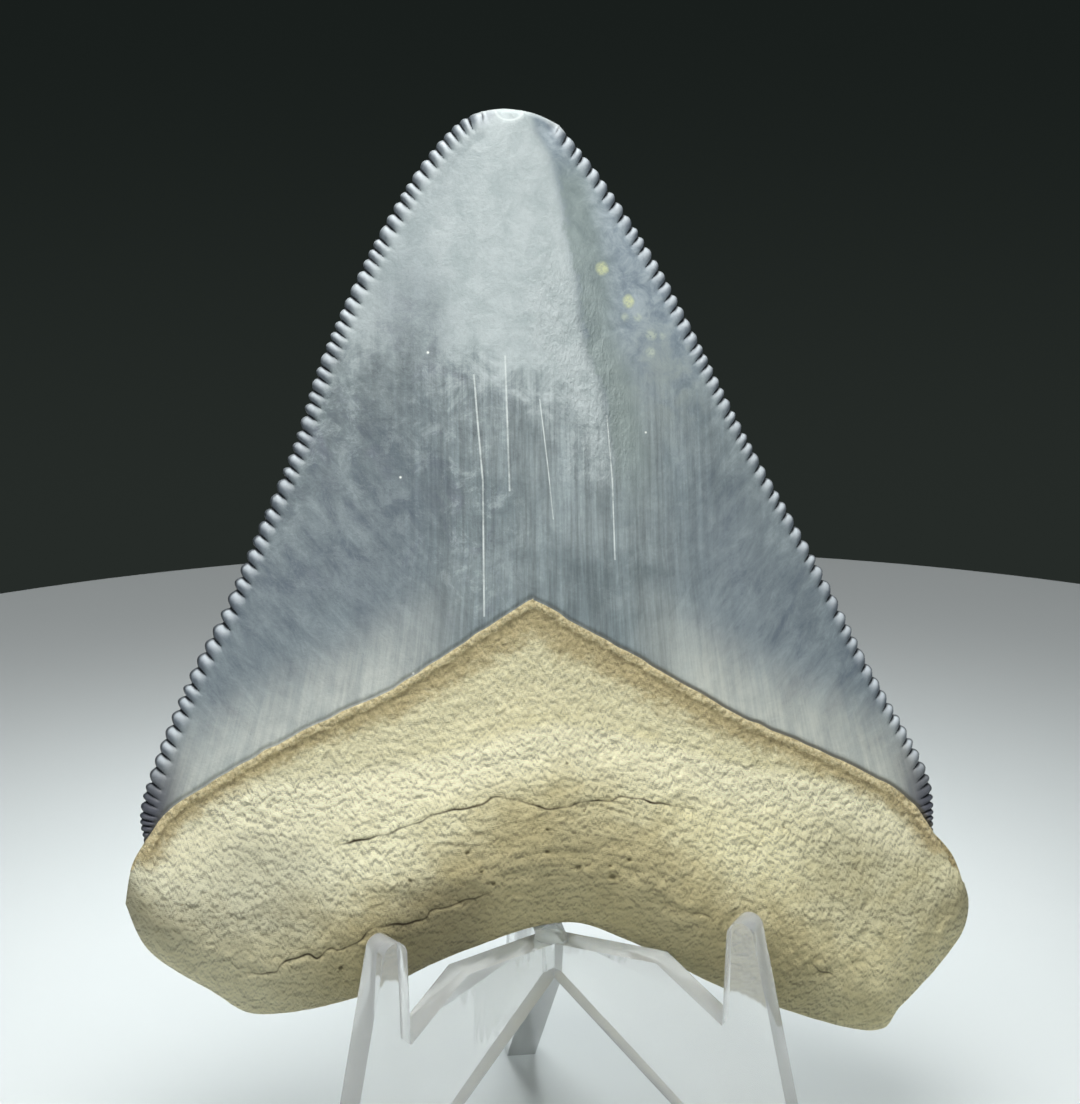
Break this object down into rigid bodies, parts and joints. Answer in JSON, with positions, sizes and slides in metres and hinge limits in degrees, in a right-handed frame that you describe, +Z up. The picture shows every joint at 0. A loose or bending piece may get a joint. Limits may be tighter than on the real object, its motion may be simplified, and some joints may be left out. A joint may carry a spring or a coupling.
{
  "type": "fossil shark tooth on display stand",
  "caption": "Fossil megalodon tooth with a serrated blue-grey crown and cream root, resting on a small clear plastic stand.",
  "frame": {"origin": "under the middle of the object's box, on the surface that the stand's feet rest on", "axes": "+Z up; the tooth's display face looks towards -Y; +X is to the right of a viewer who looks at that face"},
  "size_m": [0.0555, 0.028, 0.0673],
  "materials": {
    "fossil": "glossy blue-grey enamel over a matt cream root",
    "clear_plastic": "clear moulded acrylic, polished"
  },
  "bodies": {
    "root": {"tooth": "fossil", "stand": "clear_plastic"}
  },
  "joints": []
}
